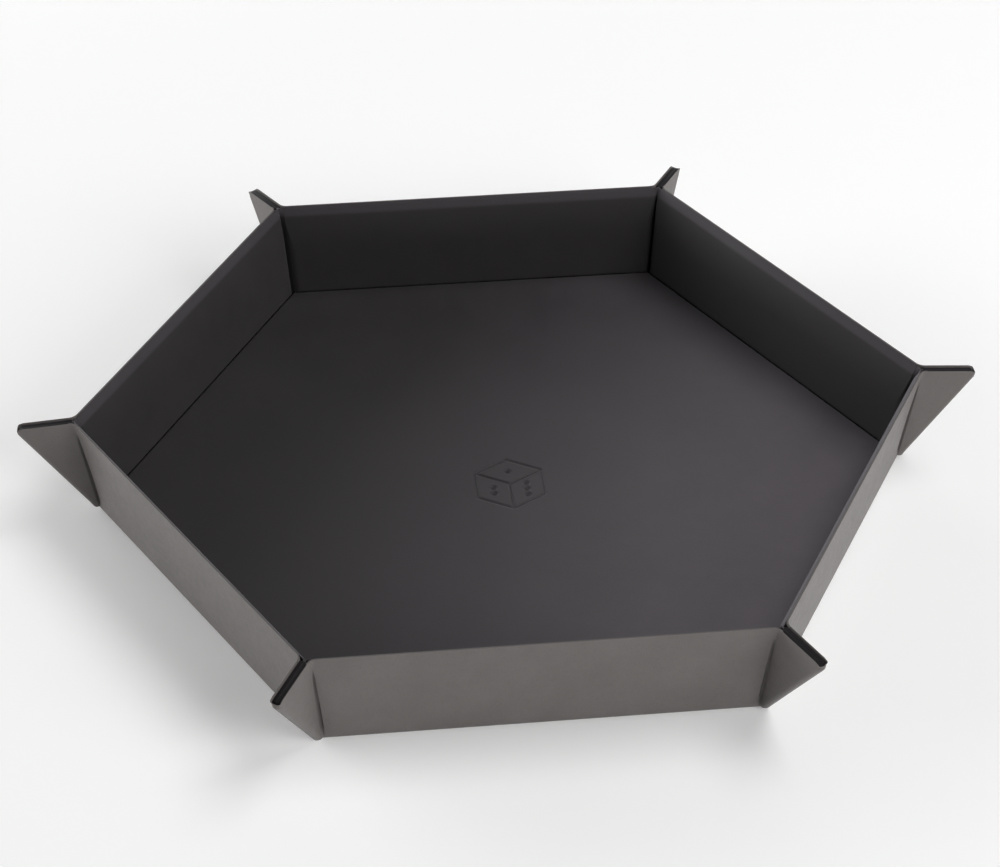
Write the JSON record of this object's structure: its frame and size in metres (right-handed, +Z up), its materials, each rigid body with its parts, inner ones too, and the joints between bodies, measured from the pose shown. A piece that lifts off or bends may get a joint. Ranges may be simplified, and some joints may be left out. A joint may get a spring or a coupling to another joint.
{
  "type": "folding dice tray",
  "caption": "Hexagonal dice tray that unfolds flat: boards between a leatherette cover and a microfibre lining, with magnets in its pinched corners.",
  "frame": {"origin": "on the table under the middle of the floor, with the tray set up", "axes": "+Z up; +X towards a corner of the hexagon; -Y towards the middle of wall 1; walls 1 to 6 follow anticlockwise from above"},
  "size_m": [0.2686, 0.2336, 0.0311],
  "materials": {
    "cover": "grey-taupe leatherette with a fine grain and a slight sheen",
    "lining": "near-black microfibre with a short nap",
    "board": "plain greyboard",
    "magnet": "nickel-plated magnet"
  },
  "bodies": {
    "base": {"base_cover": "cover", "base_board": "board", "base_lining": "lining"},
    "wall_1": {"wall_1_cover": "cover", "wall_1_board": "board", "wall_1_lining": "lining"},
    "wall_2": {"wall_2_cover": "cover", "wall_2_board": "board", "wall_2_lining": "lining"},
    "wall_3": {"wall_3_cover": "cover", "wall_3_board": "board", "wall_3_lining": "lining"},
    "wall_4": {"wall_4_cover": "cover", "wall_4_board": "board", "wall_4_lining": "lining"},
    "wall_5": {"wall_5_cover": "cover", "wall_5_board": "board", "wall_5_lining": "lining"},
    "wall_6": {"wall_6_cover": "cover", "wall_6_board": "board", "wall_6_lining": "lining"},
    "ear_1_left": {"ear_1_left_cover": "cover", "ear_1_left_lining": "lining", "ear_1_left_magnet": "magnet"},
    "ear_1_right": {"ear_1_right_cover": "cover", "ear_1_right_lining": "lining", "ear_1_right_magnet": "magnet"},
    "ear_2_left": {"ear_2_left_cover": "cover", "ear_2_left_lining": "lining", "ear_2_left_magnet": "magnet"},
    "ear_2_right": {"ear_2_right_cover": "cover", "ear_2_right_lining": "lining", "ear_2_right_magnet": "magnet"},
    "ear_3_left": {"ear_3_left_cover": "cover", "ear_3_left_lining": "lining", "ear_3_left_magnet": "magnet"},
    "ear_3_right": {"ear_3_right_cover": "cover", "ear_3_right_lining": "lining", "ear_3_right_magnet": "magnet"},
    "ear_4_left": {"ear_4_left_cover": "cover", "ear_4_left_lining": "lining", "ear_4_left_magnet": "magnet"},
    "ear_4_right": {"ear_4_right_cover": "cover", "ear_4_right_lining": "lining", "ear_4_right_magnet": "magnet"},
    "ear_5_left": {"ear_5_left_cover": "cover", "ear_5_left_lining": "lining", "ear_5_left_magnet": "magnet"},
    "ear_5_right": {"ear_5_right_cover": "cover", "ear_5_right_lining": "lining", "ear_5_right_magnet": "magnet"},
    "ear_6_left": {"ear_6_left_cover": "cover", "ear_6_left_lining": "lining", "ear_6_left_magnet": "magnet"},
    "ear_6_right": {"ear_6_right_cover": "cover", "ear_6_right_lining": "lining", "ear_6_right_magnet": "magnet"}
  },
  "joints": [
    {"name": "wall_1_fold", "type": "hinge", "parent": "base", "child": "wall_1", "pos_m": [0, -0.09974, 0.0003], "axis": [1, 0, 0], "range_deg": [0, 82.8]},
    {"name": "wall_2_fold", "type": "hinge", "parent": "base", "child": "wall_2", "pos_m": [0.08637, -0.04987, 0.0003], "axis": [0.5, 0.866, 0], "range_deg": [0, 82.8]},
    {"name": "wall_3_fold", "type": "hinge", "parent": "base", "child": "wall_3", "pos_m": [0.08637, 0.04987, 0.0003], "axis": [-0.5, 0.866, 0], "range_deg": [0, 82.8]},
    {"name": "wall_4_fold", "type": "hinge", "parent": "base", "child": "wall_4", "pos_m": [0, 0.09974, 0.0003], "axis": [-1, 0, 0], "range_deg": [0, 82.8]},
    {"name": "wall_5_fold", "type": "hinge", "parent": "base", "child": "wall_5", "pos_m": [-0.08637, 0.04987, 0.0003], "axis": [-0.5, -0.866, 0], "range_deg": [0, 82.8]},
    {"name": "wall_6_fold", "type": "hinge", "parent": "base", "child": "wall_6", "pos_m": [-0.08637, -0.04987, 0.0003], "axis": [0.5, -0.866, 0], "range_deg": [0, 82.8]},
    {"name": "ear_1_left_fold", "type": "hinge", "parent": "wall_1", "child": "ear_1_left", "pos_m": [0.056, -0.1, 0], "axis": [0.0722, -0.125, 0.9895], "range_deg": [0, 60.26]},
    {"name": "ear_1_right_fold", "type": "hinge", "parent": "wall_1", "child": "ear_1_right", "pos_m": [-0.056, -0.1, 0], "axis": [0.0722, 0.125, -0.9895], "range_deg": [0, 60.26]},
    {"name": "ear_2_left_fold", "type": "hinge", "parent": "wall_2", "child": "ear_2_left", "pos_m": [0.1146, -0.0015, 0], "axis": [0.1443, 0, 0.9895], "range_deg": [0, 60.26]},
    {"name": "ear_2_right_fold", "type": "hinge", "parent": "wall_2", "child": "ear_2_right", "pos_m": [0.0586, -0.0985, 0], "axis": [-0.0722, 0.125, -0.9895], "range_deg": [0, 60.26]},
    {"name": "ear_3_left_fold", "type": "hinge", "parent": "wall_3", "child": "ear_3_left", "pos_m": [0.0586, 0.0985, 0], "axis": [0.0722, 0.125, 0.9895], "range_deg": [0, 60.26]},
    {"name": "ear_3_right_fold", "type": "hinge", "parent": "wall_3", "child": "ear_3_right", "pos_m": [0.1146, 0.0015, 0], "axis": [-0.1443, 0, -0.9895], "range_deg": [0, 60.26]},
    {"name": "ear_4_left_fold", "type": "hinge", "parent": "wall_4", "child": "ear_4_left", "pos_m": [-0.056, 0.1, 0], "axis": [-0.0722, 0.125, 0.9895], "range_deg": [0, 60.26]},
    {"name": "ear_4_right_fold", "type": "hinge", "parent": "wall_4", "child": "ear_4_right", "pos_m": [0.056, 0.1, 0], "axis": [-0.0722, -0.125, -0.9895], "range_deg": [0, 60.26]},
    {"name": "ear_5_left_fold", "type": "hinge", "parent": "wall_5", "child": "ear_5_left", "pos_m": [-0.1146, 0.0015, 0], "axis": [-0.1443, 0, 0.9895], "range_deg": [0, 60.26]},
    {"name": "ear_5_right_fold", "type": "hinge", "parent": "wall_5", "child": "ear_5_right", "pos_m": [-0.0586, 0.0985, 0], "axis": [0.0722, -0.125, -0.9895], "range_deg": [0, 60.26]},
    {"name": "ear_6_left_fold", "type": "hinge", "parent": "wall_6", "child": "ear_6_left", "pos_m": [-0.0586, -0.0985, 0], "axis": [-0.0722, -0.125, 0.9895], "range_deg": [0, 60.26]},
    {"name": "ear_6_right_fold", "type": "hinge", "parent": "wall_6", "child": "ear_6_right", "pos_m": [-0.1146, -0.0015, 0], "axis": [0.1443, 0, -0.9895], "range_deg": [0, 60.26]}
  ],
  "couplings": [
    {"joint": "wall_2_fold", "follows": "wall_1_fold", "ratio": 1},
    {"joint": "wall_3_fold", "follows": "wall_1_fold", "ratio": 1},
    {"joint": "wall_4_fold", "follows": "wall_1_fold", "ratio": 1},
    {"joint": "wall_5_fold", "follows": "wall_1_fold", "ratio": 1},
    {"joint": "wall_6_fold", "follows": "wall_1_fold", "ratio": 1},
    {"joint": "ear_1_left_fold", "follows": "wall_1_fold", "ratio": 0.72778},
    {"joint": "ear_1_right_fold", "follows": "wall_1_fold", "ratio": 0.72778},
    {"joint": "ear_2_left_fold", "follows": "wall_1_fold", "ratio": 0.72778},
    {"joint": "ear_2_right_fold", "follows": "wall_1_fold", "ratio": 0.72778},
    {"joint": "ear_3_left_fold", "follows": "wall_1_fold", "ratio": 0.72778},
    {"joint": "ear_3_right_fold", "follows": "wall_1_fold", "ratio": 0.72778},
    {"joint": "ear_4_left_fold", "follows": "wall_1_fold", "ratio": 0.72778},
    {"joint": "ear_4_right_fold", "follows": "wall_1_fold", "ratio": 0.72778},
    {"joint": "ear_5_left_fold", "follows": "wall_1_fold", "ratio": 0.72778},
    {"joint": "ear_5_right_fold", "follows": "wall_1_fold", "ratio": 0.72778},
    {"joint": "ear_6_left_fold", "follows": "wall_1_fold", "ratio": 0.72778},
    {"joint": "ear_6_right_fold", "follows": "wall_1_fold", "ratio": 0.72778}
  ]
}
